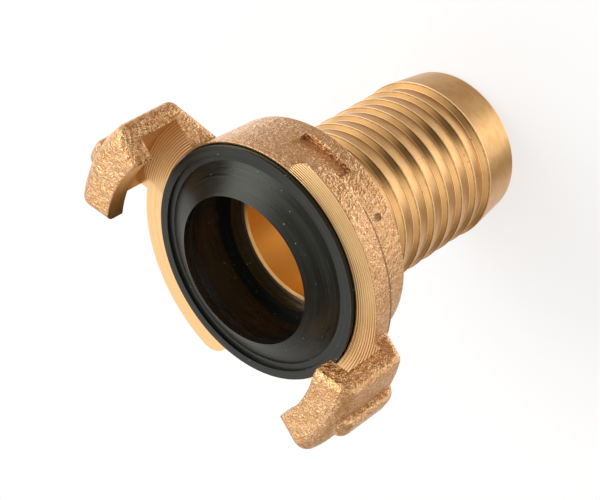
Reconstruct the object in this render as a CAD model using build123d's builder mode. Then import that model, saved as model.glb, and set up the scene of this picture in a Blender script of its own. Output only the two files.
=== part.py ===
from build123d import *
import os
from math import cos, radians, sin, sqrt, tan

# Two-claw quick coupling with a hose tail: a forged and turned brass body and a rubber lip seal.
#
# The coupling axis is Z. The flat end of the hose tail lies at Z = 0 and the claws point up.
# The two claws stand opposite each other across the Z axis, centred on the X axis. Seen from
# above, a flange lug runs anticlockwise from each claw to its cam-shaped tip, and the gap after
# that tip lets in the claw of the mating half. The second claw and lug are the first ones
# turned by half a turn.

os.makedirs("parts", exist_ok=True)

# ---- Driving dimensions, in millimetres and degrees ----

# Hose tail, from its end upwards
bore_radius = 9.3
tail_end_radius = 10.45
tail_edge_chamfer = 0.25
lead_in_length = 6.25
barb_radius = 11.1
barb_depth = 0.46
barb_pitch = 2.94
barb_count = 8
barb_step = 0.95
last_barb_rise = 0.18

# Hub ring between the tail and the coupling face
tail_root_length = 1.0
hub_length = 10.8
hub_front_radius = 15.95
hub_back_radius = 15.55
hub_back_slope = 0.4
hub_edge_chamfer = 1.0

# Flange lugs. Angles are measured anticlockwise from the start of the claw.
lug_end = 120.5
lug_radius = 18.85
lug_draft = 0.35
lug_thickness = 3.2
lug_back_angle = 28.0
lug_tip_radius = 2.8
cam_edge_depth = 0.3
cam_edge_length = 1.3
cam_lead_length = 4.4
cam_lead_depth = 2.5
cam_length = 9.5

# Claws
claw_distance = 40.0
claw_span = 39.5
arm_thickness = 2.55
arm_heel_radius = 1.5
hook_corner_radius = 2.0
hook_opening = 6.05
hook_thickness = 2.7
hook_reach = 2.85
claw_edge_radius = 1.1

# Rib on the outside of each claw
rib_angle = 20.5
rib_width = 3.8
rib_height = 1.0
rib_top_gap = 0.9
rib_foot_drop = 0.5
rib_top_radius = 1.6
rib_heel_radius = 2.2
rib_edge_radius = 1.2

# Relief in the hub behind each lug tip, for the hook of the mating claw
relief_start = 106.5
relief_end = 134.5
relief_front = 3.4
relief_back = 7.55
relief_depth = 0.6

# Seat for the seal, with depths measured down from the coupling face
seat_rim_radius = 15.75
seat_rim_depth = 0.95
seat_neck_radius = 13.6
seat_neck_depth = 2.3
seat_body_radius = 14.35
seat_depth = 8.4
bore_edge_chamfer = 0.3

# Seal
seal_clearance = 0.12
seal_stand = 0.66
seal_step_radius = 14.5
seal_step_depth = 0.4
seal_cone_radius = 13.65
seal_lip_radius = 9.9
seal_lip_height = 2.45
seal_lip_thickness = 1.2
seal_cavity_radius = 11.6
seal_foot_radius = 10.3
seal_foot_height = 1.8

# ---- Heights and radii worked out from them ----

barb_valley_radius = barb_radius - barb_depth
last_barb = lead_in_length + (barb_count - 1) * barb_pitch
hub_back = last_barb + barb_step + tail_root_length
face = hub_back + hub_length
hook_under = face + hook_opening
claw_top = hook_under + hook_thickness
arm_inner_radius = claw_distance / 2
arm_outer_radius = arm_inner_radius + arm_thickness
hook_radius = arm_inner_radius - hook_reach
rib_radius = arm_outer_radius + rib_height
lug_start = claw_span / 8
over = 1.0


def back_height(radius, drop=0.0):
    """Height of the conical back of the lugs and claws at a radius."""
    return face - lug_thickness - drop - (lug_radius - radius) * tan(radians(lug_back_angle))


def radial_plane(angle):
    """Plane through the axis: its X points outwards at the angle, and its Y points up."""
    turn = radians(angle)
    return Plane(
        origin=(0, 0, 0),
        x_dir=(cos(turn), sin(turn), 0),
        z_dir=(sin(turn), -cos(turn), 0),
    )


def tail_points():
    """Outline of the hose tail, from its end up to the last valley below the hub."""
    points = [
        (tail_end_radius - tail_edge_chamfer, 0),
        (tail_end_radius, tail_edge_chamfer),
    ]
    for barb in range(barb_count):
        crest = lead_in_length + barb * barb_pitch
        radius = barb_radius + (last_barb_rise if barb == 0 else 0)
        points.append((radius, crest))
        points.append((barb_valley_radius, crest + barb_step))
    return points


# ---- Hub and hose tail, as the bar is turned, with the two cast reliefs ----

with BuildPart() as hub_and_tail:
    with BuildSketch(Plane.XZ):
        with BuildLine():
            Polyline(
                (0, 0),
                *tail_points(),
                (barb_valley_radius, hub_back),
                (hub_back_radius - hub_edge_chamfer, hub_back + hub_back_slope),
                (hub_back_radius, hub_back + hub_back_slope + hub_edge_chamfer),
                (hub_front_radius, face),
                (0, face),
                close=True,
            )
        make_face()
    revolve(axis=Axis.Z)

    for half_turn in (0, 180):
        with BuildSketch(radial_plane(relief_start + half_turn)):
            with BuildLine():
                Polyline(
                    (hub_front_radius, face - relief_front),
                    (hub_back_radius - relief_depth, face - relief_back),
                    (hub_front_radius + over, face - relief_back),
                    (hub_front_radius + over, face - relief_front),
                    close=True,
                )
            make_face()
        revolve(axis=Axis.Z, revolution_arc=relief_end - relief_start, mode=Mode.SUBTRACT)

# ---- Flange lug with its cam-shaped tip ----

with BuildPart() as lug:
    with BuildSketch(radial_plane(lug_start)):
        with BuildLine():
            Polyline(
                (seat_body_radius, face),
                (lug_radius, face),
                (lug_radius - lug_draft, back_height(lug_radius - lug_draft)),
                (seat_body_radius, back_height(seat_body_radius)),
                close=True,
            )
        make_face()
    revolve(axis=Axis.Z, revolution_arc=lug_end - lug_start)

    # Outer corner of the tip, rounded in plan
    tip_turn = radians(lug_end)
    outwards = Vector(cos(tip_turn), sin(tip_turn), 0)
    forwards = Vector(-sin(tip_turn), cos(tip_turn), 0)
    round_distance = sqrt((lug_radius - lug_tip_radius) ** 2 - lug_tip_radius**2)
    round_centre = outwards * round_distance - forwards * lug_tip_radius
    round_reach = lug_tip_radius + over
    with BuildSketch(Plane.XY.offset(face)):
        with BuildLine():
            Polyline(
                round_centre,
                round_centre + round_centre.normalized() * round_reach,
                round_centre + round_centre.normalized() * round_reach + forwards * round_reach,
                round_centre + forwards * round_reach,
                close=True,
            )
        make_face()
        with Locations(round_centre):
            Circle(lug_tip_radius, mode=Mode.SUBTRACT)
    extrude(amount=-2 * lug_thickness, mode=Mode.SUBTRACT)

    # Cam faces that draw the two halves together, cut into the back of the tip
    tip_plane = Plane(
        origin=(0, 0, face),
        x_dir=-forwards,
        z_dir=outwards,
    )
    with BuildSketch(tip_plane):
        with BuildLine():
            Polyline(
                (-over, cam_edge_depth),
                (cam_edge_length, cam_edge_depth),
                (cam_lead_length, cam_lead_depth),
                (cam_length, lug_thickness),
                (cam_length, 3 * lug_thickness),
                (-over, 3 * lug_thickness),
                close=True,
            )
        make_face()
    extrude(amount=2 * lug_radius, mode=Mode.SUBTRACT)

# ---- Claw, as forged: a solid block with rounded edges, before its hook is turned out ----

with BuildPart() as claw:
    with BuildSketch(Plane.XZ) as claw_profile:
        with BuildLine():
            Polyline(
                (seat_body_radius, back_height(seat_body_radius)),
                (arm_outer_radius, back_height(arm_outer_radius)),
                (arm_outer_radius, claw_top),
                (seat_body_radius, claw_top),
                close=True,
            )
        make_face()
        arm_heel = claw_profile.vertices().sort_by_distance(
            (arm_outer_radius, back_height(arm_outer_radius), 0)
        )[0]
        fillet(arm_heel, arm_heel_radius)
        hook_corner = claw_profile.vertices().sort_by_distance((arm_outer_radius, claw_top, 0))[0]
        fillet(hook_corner, hook_corner_radius)
    revolve(axis=Axis.Z, revolution_arc=claw_span)
    side_faces = claw.faces().filter_by(lambda side: abs(side.normal_at().Z) < 0.01)
    side_faces = side_faces.filter_by(GeomType.PLANE)
    side_edges = side_faces.edges().filter_by(
        lambda edge: Vector(edge.center().X, edge.center().Y).length > seat_body_radius + over
    )
    fillet(side_edges, claw_edge_radius)

# ---- Rib on the outside of the claw, which runs down its back to the hub ----

with BuildPart() as rib:
    with BuildSketch(radial_plane(rib_angle)) as rib_profile:
        with BuildLine():
            Polyline(
                (seat_body_radius, back_height(seat_body_radius, rib_foot_drop)),
                (rib_radius, back_height(rib_radius, rib_foot_drop)),
                (rib_radius, claw_top - rib_top_gap),
                (seat_body_radius, claw_top - rib_top_gap),
                close=True,
            )
        make_face()
        rib_heel = rib_profile.vertices().sort_by_distance(
            (rib_radius, back_height(rib_radius, rib_foot_drop), 0)
        )[0]
        fillet(rib_heel, rib_heel_radius)
        rib_top = rib_profile.vertices().sort_by_distance((rib_radius, claw_top - rib_top_gap, 0))[0]
        fillet(rib_top, rib_top_radius)
    extrude(amount=rib_width / 2, both=True)
    rib_turn = radians(rib_angle)
    across = Vector(-sin(rib_turn), cos(rib_turn), 0)
    rib_sides = rib.faces().filter_by(lambda side: abs(side.normal_at().dot(across)) > 0.99)
    outer_edges = rib_sides.edges().filter_by(
        lambda edge: Vector(edge.center().X, edge.center().Y).length > seat_body_radius + over
    )
    fillet(outer_edges, rib_edge_radius)

# ---- Coupling body: one piece of brass ----

with BuildPart() as coupling_body:
    add(hub_and_tail.part)
    for half_turn in (0, 180):
        add(lug.part, rotation=(0, 0, half_turn))
        add(claw.part, rotation=(0, 0, half_turn))
        add(rib.part, rotation=(0, 0, half_turn))

    # Turned from the front: the space between the arms, the hooks and the coupling face
    with BuildSketch(Plane.XZ):
        with BuildLine():
            Polyline(
                (0, face),
                (arm_inner_radius, face),
                (arm_inner_radius, hook_under),
                (hook_radius, hook_under),
                (hook_radius, claw_top + over),
                (0, claw_top + over),
                close=True,
            )
        make_face()
    revolve(axis=Axis.Z, mode=Mode.SUBTRACT)

    # Seat for the seal, with the inner bead that holds it, and the bore
    with BuildSketch(Plane.XZ):
        with BuildLine():
            Polyline(
                (0, -over),
                (bore_radius, -over),
                (bore_radius, face - seat_depth - bore_edge_chamfer),
                (bore_radius + bore_edge_chamfer, face - seat_depth),
                (seat_body_radius, face - seat_depth),
                (seat_body_radius, face - seat_neck_depth),
                (seat_neck_radius, face - seat_neck_depth),
                (seat_neck_radius, face - seat_rim_depth),
                (seat_rim_radius, face - seat_rim_depth),
                (seat_rim_radius, face + over),
                (0, face + over),
                close=True,
            )
        make_face()
    revolve(axis=Axis.Z, mode=Mode.SUBTRACT)

coupling_body.part = coupling_body.part.rotate(Axis.Z, -claw_span / 2)
coupling_body.part.label = "coupling_body"
export_step(coupling_body.part, "parts/coupling_body.step")

# ---- Lip seal: one moulded ring of rubber ----

seal_rim_top = face + seal_stand
seal_lip_top = face + seal_lip_height
seal_foot = face - seat_depth
seal_outer_radius = seat_rim_radius - seal_clearance

with BuildPart() as lip_seal:
    with BuildSketch(Plane.XZ) as seal_profile:
        with BuildLine():
            Polyline(
                (seal_lip_radius, seal_lip_top),
                (seal_cone_radius, seal_rim_top - seal_step_depth),
                (seal_step_radius, seal_rim_top - seal_step_depth),
                (seal_step_radius, seal_rim_top),
                (seal_outer_radius, seal_rim_top),
                (seal_outer_radius, face - seat_rim_depth),
                (seat_neck_radius - seal_clearance, face - seat_rim_depth),
                (seat_neck_radius - seal_clearance, face - seat_neck_depth - seal_clearance),
                (seat_body_radius - seal_clearance, face - seat_neck_depth - seal_clearance),
                (seat_body_radius - seal_clearance, seal_foot),
                (seal_foot_radius, seal_foot),
                (seal_foot_radius, seal_foot + seal_foot_height),
                (seal_cavity_radius, seal_foot + seal_foot_height),
                (seal_cavity_radius, face - seal_lip_thickness),
                (seal_lip_radius, seal_lip_top - seal_lip_thickness),
                close=True,
            )
        make_face()
    revolve(axis=Axis.Z)

lip_seal.part.label = "lip_seal"
export_step(lip_seal.part, "parts/lip_seal.step")
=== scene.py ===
"""Looks of the two-claw hose coupling: brass, rubber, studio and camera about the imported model."""

import math
from types import SimpleNamespace

import bpy
from mathutils import Matrix, Vector


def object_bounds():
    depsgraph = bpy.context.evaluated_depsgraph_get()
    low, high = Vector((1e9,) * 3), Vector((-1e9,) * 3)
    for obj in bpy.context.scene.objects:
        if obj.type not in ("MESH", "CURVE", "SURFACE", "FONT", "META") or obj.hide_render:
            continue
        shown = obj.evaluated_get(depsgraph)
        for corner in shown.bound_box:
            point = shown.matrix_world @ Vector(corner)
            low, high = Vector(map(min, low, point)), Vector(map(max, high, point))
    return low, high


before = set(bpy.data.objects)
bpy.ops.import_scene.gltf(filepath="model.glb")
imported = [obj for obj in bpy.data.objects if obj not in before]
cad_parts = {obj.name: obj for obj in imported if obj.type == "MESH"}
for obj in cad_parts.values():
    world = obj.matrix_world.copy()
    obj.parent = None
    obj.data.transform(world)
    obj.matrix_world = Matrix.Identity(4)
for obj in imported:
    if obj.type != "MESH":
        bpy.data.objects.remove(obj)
cad_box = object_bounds()

# ---- Sizes of the model that the finishes follow, in millimetres ----

FACE = 39.58  # height of the coupling face
ON_FACE = 0.04  # a point this near to that height lies on it
HOOK_UNDER = 45.63  # height of the underside of the hooks
ON_HOOK = 0.03
TAIL_TOP = 29.0  # the tail lies below it, within TAIL_RADIUS
TAIL_RADIUS = 13.0
BORE_RADIUS = 9.3
BORE_SKIN = 0.1  # what faces in and lies this near to the bore is its wall
BORE_EDGE = 0.8  # width of the painted highlight ring round the bore
SEAT_RIM = 15.75  # radius of the edge of the seat in the coupling face
SEAT_EDGE = 0.22  # width of the painted highlight line round the seat
SEAT_INSIDE = 14.9  # what faces up within this radius is the floor of the seat

LEAD_IN = 6.25  # height of the crest of the first barb
BARB_PITCH = 2.94
BARB_LEAD = 0.30  # a barb's marks start this far below its crest
BARB_FOOT = 0.95  # from the crest of a barb up to its foot
# Middle and width of the painted highlight and painted shade lines on each barb, from its crest
RIDGE_LINE = (0.02, 0.09)
SLOPE_LINE = (BARB_FOOT * 0.20, 0.15)
FOOT_LINE = (BARB_FOOT - 0.04, 0.09)
UNDER_FOOT_LINE = (BARB_FOOT + 0.12, 0.10)

LUG_BACK = 36.45  # height of the lower edge of the lugs
LUG_INSIDE = 18.2  # the lugs lie outside this radius
CLAW_START = 17.5  # the claws lie past this x
# Width and waver of a painted shade line along the lower edge of the lugs
LUG_EDGE_SHADE_WIDTH = 0.30
LUG_EDGE_SHADE_WAVER = 0.25  # how far the line strays up and down

NICK_ANGLE = -116.6  # degrees
NICK_RADIUS = 15.64
NICK_HEIGHT = 32.5
NICK_SQUEEZE = (1.3, 1.3, 0.75)  # above 1 makes it narrower that way, below 1 longer
NICK_RAGGED = 0.7
NICK_REACH = (1.0, 0.7)

# Which way the surface faces: share of its normal that points in, up, or round the axis
FACING_IN = 0.5
FACING_UP = 0.9
FACING_ROUND = 0.8

# ---- Noise: size in millimetres, detail, roughness ----

GRAIN = (0.30, 2.0, 0.6)
FLECKS = (0.5, 2.0, 0.6)
LUMPS = (0.75, 2.0, 0.5)
SWELL = (1.6, 3.0, 0.6)
PATCHES = (3.5, 3.0, 0.6)
GROOVE_WANDER = (3.0, 2.0, 0.5)
RUBBER_FINE = (0.25, 3.0, 0.6)
SCUFF_PATCHES = (5.0, 2.0, 0.5)

# Streaks round the axis: noise per radian, per mm of radius, per mm of height, detail, roughness
TAIL_LINES = (0.8, 0.0, 9.0, 4.0, 0.65)
TAIL_SMEARS = (6.0, 0.0, 0.8, 3.0, 0.6)
FACE_LINES = (0.8, 6.0, 0.0, 3.0, 0.6)
RUBBER_RINGS = (0.7, 2.2, 1.0, 3.0, 0.6)
RUBBER_SCUFFS = (2.5, 7.0, 1.0, 3.0, 0.7)

# Scattered spots: millimetres between them, and their radius as a share of that
PITS = (2.4, 0.045)
SPECKS = (1.3, 0.055)

# ---- Grooves of the facing tool, which left part of one lug smooth ----

GROOVE_PITCH = 0.33
GROOVE_WAVER = 0.12  # how far a groove strays, as a share of the pitch
SMOOTH_FROM_Y = (4.6, 5.2)  # grooved below the first, smooth above the second, and the same in x
SMOOTH_FROM_X = (-15.0, -14.5)
SMOOTH_GROOVES = 0.10

# ---- Colours, linear ----

TURNED_BRASS = (0.75, 0.45, 0.19)
TURNED_DEEP = (0.58, 0.31, 0.106)
FACED_BRASS = (0.80, 0.53, 0.26)
# a lighter, more orange copy of the turned brass, as painted light in the bore
LIT_BORE_BRASS = (0.83, 0.53, 0.194)
# painted highlights on the barbs and on the edges of the seat and the bore
PAINTED_HIGHLIGHT_BRASS = (1.0, 0.78, 0.50)
# tarnish, and painted shade where it darkens the corners and the barbs
TARNISH_AND_SHADE = (0.30, 0.115, 0.028)
CAST_LIGHT = (0.90, 0.60, 0.345)
CAST_BRASS = (0.75, 0.45, 0.225)
CAST_WARM = (0.60, 0.285, 0.100)
CAST_DARK = (0.52, 0.27, 0.112)
CAST_SHADE = (0.24, 0.105, 0.040)
RUBBER = (0.006, 0.0064, 0.0060)
RUBBER_WORN = (0.026, 0.028, 0.021)
RUBBER_SHEEN = (0.80, 0.82, 0.72)
SCUFF = (0.10, 0.105, 0.095)
DUST = (0.30, 0.30, 0.28)

# ---- Ramps: low and high end of what is read, then what is given there if it isn't 0 and 1 ----

SMEARS_DEEP = (0.35, 0.70, 0.0, 0.55)
LINES_DEEP = (0.45, 0.75, 0.0, 0.35)
FACE_LINES_PALE = (0.30, 0.60)
GROOVES_DEEP = (0.10, 0.90, 0.0, 0.85)
PATCHY = (0.35, 0.60, 0.45, 1.0)
GRAIN_MIDDLE = (0.32, 0.48)
GRAIN_TOP = (0.50, 0.66)
PATCHES_WARM = (0.35, 0.70, 0.0, 0.35)
LUMPS_HOLLOW = (0.55, 0.38)
FLECKS_DENT = (0.50, 0.40)
SKY_CORNER = (0.85, 0.35)
GRAIN_CORNER = (0.65, 0.40, 0.45, 1.0)
LINES_ROUGH = (0.20, 0.80, 0.28, 0.36)
GRAIN_ROUGH = (0.30, 0.70, 0.38, 0.24)
RINGS_WORN = (0.35, 0.75, 0.0, 0.6)
RINGS_ROUGH = (0.30, 0.70, 0.25, 0.37)
SCUFFS_SHOWN = (0.55, 0.72)
SCUFFS_PLACED = (0.42, 0.62)

# ---- Shares of colours. A pair is for most of the skin, and for the sides of the claws ----

STEEP_DEEP = 0.5
RIDGE_BRIGHT = 0.9
FOOT_BRIGHT = 0.45
SLOPE_DARK = 0.8
UNDER_FOOT_DARK = 0.6
PITS_DARK = 0.7
HOLLOWS_WARM = (0.50, 0.95)
DENTS_DARK = (0.12, 0.60)
CORNER_DARK = 0.6
TURNED_CORNER = 0.35
FACE_CORNER = 0.15
LUG_EDGE_SHADE_DARK = 0.95
NICK_DARK = 0.85
SCUFFS_PALE = 0.35

# ---- Relief, gloss and edges ----

BRASS_RELIEF = 0.22  # millimetres for a height of 1
GRAIN_HEIGHT = (0.75, 1.5)
LUMPS_HEIGHT = (0.9, 2.6)
SWELL_HEIGHT = 1.2
NICK_DEPTH = 1.5
GROOVE_HEIGHT = 0.09
LINES_HEIGHT = 0.02
RIDGE_HEIGHT = 0.10
FOOT_DEPTH = 0.08
RUBBER_RELIEF = 0.05
RUBBER_HEIGHT = 0.3
SMOOTH_ROUGH = 0.36
GROOVED_ROUGH = 0.34
SCUFFS_ROUGH = 0.15
RUBBER_IOR = 1.38
CORNER_REACH = 0.0028  # metres
CORNER_SAMPLES = 8
EDGE_SAMPLES = 6
CAST_EDGE = 0.55e-3  # metres
TURNED_EDGE = 0.02e-3


# ---- Building of node trees ----


class Nodes:
    """Adds nodes to one node tree. Each method returns the output socket of what it adds."""

    def __init__(self, tree):
        self.tree = tree
        tree.nodes.clear()

    def add(self, kind, **settings):
        """The new node itself."""
        node = self.tree.nodes.new("ShaderNode" + kind)
        for name, value in settings.items():
            setattr(node, name, value)
        return node

    def feed(self, node, inputs):
        """The same node, with its inputs linked or set."""
        for name, value in inputs.items():
            socket = node.inputs[name]
            if isinstance(value, bpy.types.NodeSocket):
                self.tree.links.new(value, socket)
            elif isinstance(value, tuple) and len(value) == 3 and socket.type == "RGBA":
                socket.default_value = (*value, 1.0)
            else:
                socket.default_value = value
        return node

    def math(self, operation, *values):
        node = self.add("Math", operation=operation)
        return self.feed(node, dict(enumerate(values))).outputs[0]

    def join(self, operation, first, *others):
        """The operation on the first two values, then on its result and the next, and so on."""
        for other in others:
            first = self.math(operation, first, other)
        return first

    def times(self, *values):
        return self.join("MULTIPLY", *values)

    def plus(self, *values):
        return self.join("ADD", *values)

    def largest(self, *values):
        return self.join("MAXIMUM", *values)

    def minus(self, first, second):
        return self.math("SUBTRACT", first, second)

    def above(self, value, limit):
        return self.math("GREATER_THAN", value, limit)

    def below(self, value, limit):
        return self.math("LESS_THAN", value, limit)

    def vector(self, operation, *values, output="Vector"):
        node = self.add("VectorMath", operation=operation)
        return self.feed(node, dict(enumerate(values))).outputs[output]

    def ramp(self, value, low, high, start=0.0, end=1.0):
        """start where value is at low or past it, end where it is at high, smooth between."""
        node = self.add("MapRange", interpolation_type="SMOOTHSTEP")
        limits = {"From Min": low, "From Max": high, "To Min": start, "To Max": end}
        return self.feed(node, {"Value": value, **limits}).outputs["Result"]

    def near(self, value, centre, reach):
        """1 where value is within reach of centre, and 0 elsewhere."""
        return self.math("COMPARE", value, centre, reach)

    def bell(self, value, centre, width):
        """A smooth hump of height 1 at centre, which is gone at width from it."""
        away = self.math("ABSOLUTE", self.minus(value, centre))
        return self.ramp(away, 0.0, width, 1.0, 0.0)

    def mix(self, share, first, second):
        """The colour first where share is 0, and second where it is 1."""
        node = self.add("Mix", data_type="RGBA")
        return self.feed(node, {0: share, 6: first, 7: second}).outputs[2]

    def blend(self, share, first, second):
        """The same as mix, for plain numbers."""
        node = self.add("Mix", data_type="FLOAT")
        return self.feed(node, {0: share, 2: first, 3: second}).outputs[0]

    def noise(self, where, size, detail, roughness):
        """Noise from 0 to 1 with features of about this size in millimetres."""
        node = self.add("TexNoise")
        scales = {"Scale": 1.0 / size, "Detail": detail, "Roughness": roughness}
        return self.feed(node, {"Vector": where, **scales}).outputs[0]

    def streaks(self, at, per_radian, per_radius, per_height, detail, roughness):
        """Noise that is drawn out round the axis."""
        turn = self.times(at.angle, per_radian)
        out = self.times(at.radius, per_radius)
        up = self.times(at.z, per_height)
        where = self.feed(self.add("CombineXYZ"), {0: turn, 1: out, 2: up}).outputs[0]
        return self.noise(where, 1.0, detail, roughness)

    def spots(self, where, spacing, radius):
        """1 within radius, as a share of the spacing, of scattered points, and 0 elsewhere."""
        cells = self.feed(self.add("TexVoronoi"), {"Vector": where, "Scale": 1.0 / spacing})
        return self.below(cells.outputs["Distance"], radius)

    def split(self, vector):
        return self.feed(self.add("SeparateXYZ"), {0: vector}).outputs

    def place(self):
        """The point on the part in millimetres, its x, y, z, radius, and angle about the axis."""
        coordinates = self.add("TexCoord").outputs["Object"]
        where = self.vector("MULTIPLY", coordinates, (1000.0, 1000.0, 1000.0))
        x, y, z = self.split(where)
        radius = self.math("SQRT", self.plus(self.times(x, x), self.times(y, y)))
        angle = self.math("ARCTAN2", y, x)
        return SimpleNamespace(where=where, x=x, y=y, z=z, radius=radius, angle=angle)

    def bump(self, height, depth, normal=None):
        """A surface that is raised by height times depth, in millimetres."""
        inputs = {"Strength": 1.0, "Distance": depth * 0.001, "Height": height}
        if normal is not None:
            inputs["Normal"] = normal
        return self.feed(self.add("Bump"), inputs).outputs[0]

    def show(self, shader, output="OutputMaterial"):
        """Sends the shader to the surface, or to the world."""
        self.tree.links.new(shader, self.add(output).inputs["Surface"])

    def show_principled(self, **inputs):
        named = {name.replace("_", " "): value for name, value in inputs.items()}
        self.show(self.feed(self.add("BsdfPrincipled"), named).outputs[0])


def new_material(name):
    material = bpy.data.materials.new(name)
    material.use_nodes = True
    return material, Nodes(material.node_tree)


# ---- Brass: turned where a tool has cut, forged and blasted elsewhere ----


def brass_regions(n, at):
    """Masks that are 1 on a region of the body and 0 elsewhere."""
    facing_x, facing_y, facing_z = n.split(n.add("NewGeometry").outputs["Normal"])
    outwards = n.plus(n.times(facing_x, at.x), n.times(facing_y, at.y))
    outwards = n.math("DIVIDE", outwards, at.radius)
    around = n.minus(n.times(facing_y, at.x), n.times(facing_x, at.y))
    around = n.math("ABSOLUTE", n.math("DIVIDE", around, at.radius))
    upwards = n.above(facing_z, FACING_UP)

    # What faces the axis, the coupling face, the floor of the seat, the hooks and the tail are cut
    inwards = n.below(outwards, -FACING_IN)
    face = n.times(n.near(at.z, FACE, ON_FACE), upwards)
    shoulder = n.times(n.below(at.radius, SEAT_INSIDE), upwards)
    under_hook = n.near(at.z, HOOK_UNDER, ON_HOOK)
    tail = n.times(n.below(at.z, TAIL_TOP), n.below(at.radius, TAIL_RADIUS))
    turned = n.largest(inwards, face, shoulder, under_hook, tail)
    return SimpleNamespace(
        turned=turned,
        cast=n.minus(1.0, turned),
        face=face,
        tail=tail,
        outside_tail=n.times(tail, n.above(outwards, 0.0)),
        bore=n.times(inwards, n.below(at.radius, BORE_RADIUS + BORE_SKIN)),
        bore_edge=n.times(shoulder, n.below(at.radius, BORE_RADIUS + BORE_EDGE)),
        seat_edge=n.times(face, n.bell(at.radius, SEAT_RIM, SEAT_EDGE)),
        claw_side=n.times(n.above(around, FACING_ROUND), n.above(at.z, FACE)),
    )


def barb_marks(n, at, outside_tail):
    """Each barb has a painted highlight line at its crest and at its foot, a painted shade line with
    some tarnish above each, and a steep face painted darker as shade.
    """
    step = n.math("WRAP", n.minus(at.z, LEAD_IN), BARB_PITCH - BARB_LEAD, -BARB_LEAD)
    barbed = n.times(outside_tail, n.above(at.z, LEAD_IN - BARB_LEAD))
    return SimpleNamespace(
        steep=n.times(barbed, n.near(step, BARB_FOOT / 2, BARB_FOOT / 2)),
        ridge=n.times(n.bell(step, *RIDGE_LINE), barbed),
        slope=n.times(n.bell(step, *SLOPE_LINE), barbed),
        foot=n.times(n.bell(step, *FOOT_LINE), barbed),
        under_foot=n.times(n.bell(step, *UNDER_FOOT_LINE), barbed),
    )


def face_grooves(n, at):
    """Waves from -1 to 1 round the axis, and how much of them the tool left at each place."""
    wander = n.times(n.noise(at.where, *GROOVE_WANDER), GROOVE_WAVER)
    turns = n.plus(n.math("DIVIDE", at.radius, GROOVE_PITCH), wander)
    smooth = n.times(n.ramp(at.y, *SMOOTH_FROM_Y), n.ramp(at.x, *SMOOTH_FROM_X))
    return n.math("SINE", n.times(turns, 2 * math.pi)), n.blend(smooth, 1.0, SMOOTH_GROOVES)


def lug_edge_shade_line(n, at, cast, swell):
    """A ragged painted shade line along the lower edge of each lug."""
    on_lug = n.times(cast, n.above(at.radius, LUG_INSIDE))
    on_lug = n.times(on_lug, n.below(n.math("ABSOLUTE", at.x), CLAW_START))
    height = n.plus(at.z, n.times(n.minus(swell, 0.5), LUG_EDGE_SHADE_WAVER))
    return n.times(on_lug, n.bell(height, LUG_BACK, LUG_EDGE_SHADE_WIDTH))


def nick_mark(n, at, grain):
    """A nick in the forging on the outside of the hub."""
    turn = math.radians(NICK_ANGLE)
    centre = (NICK_RADIUS * math.cos(turn), NICK_RADIUS * math.sin(turn), NICK_HEIGHT)
    away = n.vector("MULTIPLY", n.vector("SUBTRACT", at.where, centre), NICK_SQUEEZE)
    distance = n.vector("LENGTH", away, output="Value")
    return n.ramp(n.plus(distance, n.times(grain, NICK_RAGGED)), *NICK_REACH)


def corner_shade_and_tarnish(n, on, grain):
    """Painted shade in the corners from ambient occlusion, with tarnish, most of all in the forged
    ones.
    """
    occlusion = n.add("AmbientOcclusion", samples=CORNER_SAMPLES)
    open_sky = n.feed(occlusion, {"Distance": CORNER_REACH}).outputs["AO"]
    corner = n.ramp(open_sky, *SKY_CORNER)
    corner = n.times(corner, n.blend(on.cast, TURNED_CORNER, n.ramp(grain, *GRAIN_CORNER)))
    return n.times(corner, n.blend(on.face, 1.0, FACE_CORNER))


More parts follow.
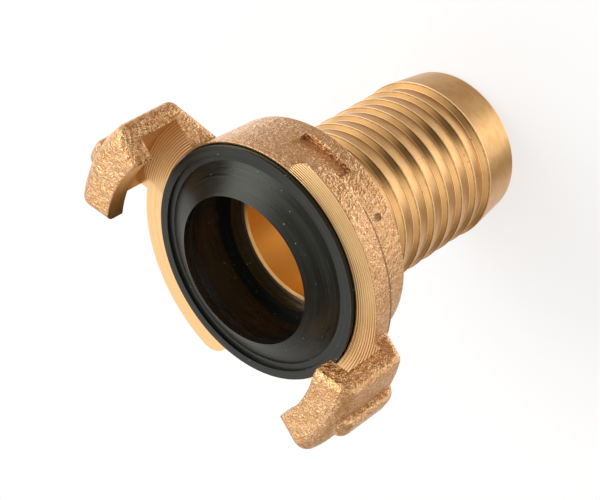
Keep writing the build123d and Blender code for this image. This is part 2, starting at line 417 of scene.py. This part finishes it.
def brass_material():
    material, n = new_material("brass")
    at = n.place()
    on = brass_regions(n, at)
    barb = barb_marks(n, at, on.outside_tail)
    grooves, grooved = face_grooves(n, at)
    lines = n.streaks(at, *TAIL_LINES)
    smears = n.streaks(at, *TAIL_SMEARS)
    face_lines = n.streaks(at, *FACE_LINES)
    grain, flecks, lumps, swell, patches = (
        n.noise(at.where, *kind) for kind in (GRAIN, FLECKS, LUMPS, SWELL, PATCHES)
    )
    lug_edge_shade = lug_edge_shade_line(n, at, on.cast, swell)
    nick = nick_mark(n, at, grain)
    corner = corner_shade_and_tarnish(n, on, grain)

    # Turned: the face with its grooves, the bore with painted light, the barbs with painted
    # highlights and shade, then the painted highlights on the edges
    turned = n.mix(n.ramp(smears, *SMEARS_DEEP), TURNED_BRASS, TURNED_DEEP)
    turned = n.mix(n.ramp(lines, *LINES_DEEP), turned, TURNED_DEEP)
    faced = n.mix(n.ramp(face_lines, *FACE_LINES_PALE), TURNED_BRASS, FACED_BRASS)
    cut_lines = n.times(n.ramp(grooves, *GROOVES_DEEP), grooved, n.ramp(patches, *PATCHY))
    faced = n.mix(cut_lines, faced, TURNED_DEEP)
    turned = n.mix(on.face, turned, faced)
    # The bore has a lighter copy of the turned brass, as painted light
    turned = n.mix(on.bore, turned, LIT_BORE_BRASS)
    # Painted shade: the steep face of each barb is darker
    turned = n.mix(n.times(barb.steep, STEEP_DEEP), turned, TURNED_DEEP)
    # Painted highlights at the crest and the foot of each barb
    painted_highlights = n.largest(n.times(barb.ridge, RIDGE_BRIGHT), n.times(barb.foot, FOOT_BRIGHT))
    turned = n.mix(painted_highlights, turned, PAINTED_HIGHLIGHT_BRASS)
    # Painted shade lines with some tarnish above the crest and the foot of each barb
    slope = n.times(barb.slope, n.ramp(flecks, *PATCHY))
    dark = n.largest(n.times(slope, SLOPE_DARK), n.times(barb.under_foot, UNDER_FOOT_DARK))
    turned = n.mix(dark, turned, TARNISH_AND_SHADE)
    pits = n.times(on.tail, n.spots(at.where, *PITS))
    turned = n.mix(n.times(pits, PITS_DARK), turned, TARNISH_AND_SHADE)
    # Painted highlights round the seat and the bore
    turned = n.mix(n.largest(on.seat_edge, on.bore_edge), turned, PAINTED_HIGHLIGHT_BRASS)

    # Forged: light on the grain, warm in the hollows, dark in the dents
    cast = n.mix(n.ramp(grain, *GRAIN_MIDDLE), CAST_DARK, CAST_BRASS)
    cast = n.mix(n.ramp(grain, *GRAIN_TOP), cast, CAST_LIGHT)
    cast = n.mix(n.ramp(patches, *PATCHES_WARM), cast, CAST_WARM)
    hollows = n.times(n.ramp(lumps, *LUMPS_HOLLOW), n.blend(on.claw_side, *HOLLOWS_WARM))
    cast = n.mix(hollows, cast, CAST_WARM)
    dents = n.times(n.ramp(flecks, *FLECKS_DENT), n.blend(on.claw_side, *DENTS_DARK))
    cast = n.mix(dents, cast, CAST_SHADE)

    colour = n.mix(on.turned, cast, turned)
    # Painted shade with tarnish in the corners, from ambient occlusion
    shade_and_tarnish_colour = n.mix(on.turned, CAST_SHADE, TARNISH_AND_SHADE)
    colour = n.mix(n.times(corner, CORNER_DARK), colour, shade_and_tarnish_colour)
    # Painted shade line along the lower edge of the lugs
    colour = n.mix(n.times(lug_edge_shade, LUG_EDGE_SHADE_DARK), colour, CAST_SHADE)
    colour = n.mix(n.times(nick, NICK_DARK), colour, CAST_SHADE)

    face_rough = n.blend(grooved, SMOOTH_ROUGH, GROOVED_ROUGH)
    turned_rough = n.blend(on.face, n.ramp(lines, *LINES_ROUGH), face_rough)
    rough = n.blend(on.turned, n.ramp(grain, *GRAIN_ROUGH), turned_rough)

    grain_height = n.times(grain, n.blend(on.claw_side, *GRAIN_HEIGHT))
    lumps_height = n.times(lumps, n.blend(on.claw_side, *LUMPS_HEIGHT))
    cast_height = n.plus(grain_height, n.times(swell, SWELL_HEIGHT), lumps_height)
    cast_height = n.times(n.minus(cast_height, n.times(nick, NICK_DEPTH)), on.cast)
    face_height = n.times(grooves, n.times(grooved, GROOVE_HEIGHT), on.face)
    tail_height = n.times(lines, LINES_HEIGHT, on.tail)
    barb_height = n.minus(n.times(barb.ridge, RIDGE_HEIGHT), n.times(barb.foot, FOOT_DEPTH))
    height = n.plus(cast_height, n.plus(face_height, n.plus(tail_height, barb_height)))
    edge = n.blend(on.turned, CAST_EDGE, TURNED_EDGE)
    rounded = n.feed(n.add("Bevel", samples=EDGE_SAMPLES), {"Radius": edge}).outputs[0]
    normal = n.bump(height, BRASS_RELIEF, rounded)

    n.show_principled(Base_Color=colour, Metallic=1.0, Roughness=rough, Normal=normal)
    return material


# ---- Rubber: black, with worn rings, scuffs and specks of dust ----


def rubber_material():
    material, n = new_material("seal_rubber")
    at = n.place()
    rings = n.streaks(at, *RUBBER_RINGS)
    fine = n.noise(at.where, *RUBBER_FINE)
    scuffs = n.ramp(n.streaks(at, *RUBBER_SCUFFS), *SCUFFS_SHOWN)
    scuffs = n.times(scuffs, n.ramp(n.noise(at.where, *SCUFF_PATCHES), *SCUFFS_PLACED))

    colour = n.mix(n.ramp(rings, *RINGS_WORN), RUBBER, RUBBER_WORN)
    colour = n.mix(n.times(scuffs, SCUFFS_PALE), colour, SCUFF)
    colour = n.mix(n.spots(at.where, *SPECKS), colour, DUST)
    rough = n.plus(n.ramp(rings, *RINGS_ROUGH), n.times(scuffs, SCUFFS_ROUGH))
    height = n.plus(n.times(rings, RUBBER_HEIGHT), n.times(fine, RUBBER_HEIGHT))
    n.show_principled(
        Base_Color=colour,
        Roughness=rough,
        IOR=RUBBER_IOR,
        Specular_Tint=RUBBER_SHEEN,
        Normal=n.bump(height, RUBBER_RELIEF),
    )
    return material


for node, material in (("coupling_body", brass_material()), ("lip_seal", rubber_material())):
    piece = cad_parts[node]
    piece.data.materials.clear()
    piece.data.materials.append(material)

# ---- Studio: a white room with bright and dark cards about the part ----

CARDS = [
    # towards the card, degrees from its middle to its edge, strength
    ((0.15, 0.62, 0.77), 45, 0.55),
    ((-0.66, -0.73, 0.10), 30, 0.85),
    ((-0.80, -0.38, -0.45), 30, 0.45),
    ((-0.38, -0.42, -0.82), 25, 0.75),
    ((0.62, 0.05, 0.78), 25, 4.60),
    ((0.95, -0.20, 0.10), 35, 0.80),
    ((0.72, 0.55, -0.40), 28, 0.90),
    ((0.00, 0.00, -1.00), 22, 2.20),
    ((-0.50, 0.35, 0.78), 38, -0.50),
    ((0.00, -1.00, 0.10), 34, -0.75),
    ((0.05, -0.85, -0.50), 30, -0.32),
    ((0.25, -0.50, -0.83), 26, -0.28),
    ((0.72, -0.35, -0.60), 30, -0.35),
    ((-0.80, 0.58, -0.15), 28, -0.50),
    ((-0.50, 0.02, -0.86), 20, -0.50),
]
CARD_MIDDLE = 0.3  # share of a card that has its full strength
ROOM = 0.80
DARKEST = 0.04
WHITE = (1.0, 1.0, 1.0)
SHADE_COLOUR = (1.0, 0.80, 0.60)
SHADE_LEVELS = (0.15, 1.1)  # below the first all light has SHADE_COLOUR, above the second none

FLOOR_SIZE = 4.0
FLOOR_GAP = 0.0002
FLOOR_COLOUR = (0.9, 0.9, 0.9)
FLOOR_GLOW = 0.70

CAMERA_PLACE = (-0.04693, -0.16645, 0.17608)
CAMERA_RIGHT = (-0.65218, -0.38439, -0.65350)
CAMERA_BACK = (-0.20243, -0.74250, 0.63870)
LENS = 108.0
SENSOR_WIDTH = 36.0
CLIP_START = 0.01


def light_studio():
    """The camera sees plain white. All other rays see the room and its cards."""
    world = bpy.data.worlds.new("studio")
    world.use_nodes = True
    n = Nodes(world.node_tree)
    towards = n.add("TexCoord").outputs["Generated"]
    level = ROOM
    for direction, spread, strength in CARDS:
        direction = tuple(Vector(direction).normalized())
        along = n.vector("DOT_PRODUCT", towards, direction, output="Value")
        edge, middle = (math.cos(math.radians(a)) for a in (spread, CARD_MIDDLE * spread))
        level = n.plus(level, n.ramp(along, edge, middle, 0.0, strength))
    level = n.largest(level, DARKEST)
    seen = n.add("LightPath").outputs["Is Camera Ray"]
    whiteness = n.largest(seen, n.ramp(level, *SHADE_LEVELS))
    colour = n.mix(whiteness, SHADE_COLOUR, WHITE)
    light = {"Color": colour, "Strength": n.blend(seen, level, 1.0)}
    n.show(n.feed(n.add("Background"), light).outputs[0], "OutputWorld")
    bpy.context.scene.world = world


def lay_floor():
    """A white floor that takes the shadow of the part. The part does not reflect it."""
    height = cad_box[0][2] - FLOOR_GAP
    bpy.ops.mesh.primitive_plane_add(size=FLOOR_SIZE, location=(0.0, 0.0, height))
    floor = bpy.context.object
    floor.name = "floor"
    material, n = new_material("floor_white")
    diffuse = n.feed(n.add("BsdfDiffuse"), {"Color": FLOOR_COLOUR}).outputs[0]
    glow = n.feed(n.add("Emission"), {"Color": WHITE, "Strength": 1.0}).outputs[0]
    n.show(n.feed(n.add("MixShader"), {0: FLOOR_GLOW, 1: diffuse, 2: glow}).outputs[0])
    floor.data.materials.append(material)
    floor.visible_glossy = False
    floor.visible_diffuse = False
    floor.visible_shadow = False


def aim_camera():
    """The photograph's view: from the claw side, above the coupling face, turned on its side."""
    right = Vector(CAMERA_RIGHT).normalized()
    back = Vector(CAMERA_BACK).normalized()
    up = back.cross(right).normalized()
    right = up.cross(back)
    camera = bpy.data.objects.new("camera", bpy.data.cameras.new("camera"))
    bpy.context.scene.collection.objects.link(camera)
    turn = Matrix((right, up, back)).transposed().to_4x4()
    camera.matrix_world = Matrix.Translation(CAMERA_PLACE) @ turn
    camera.data.lens = LENS
    camera.data.sensor_width = SENSOR_WIDTH
    camera.data.clip_start = CLIP_START
    bpy.context.scene.camera = camera


light_studio()
lay_floor()
aim_camera()
bpy.context.scene.view_settings.view_transform = "Standard"
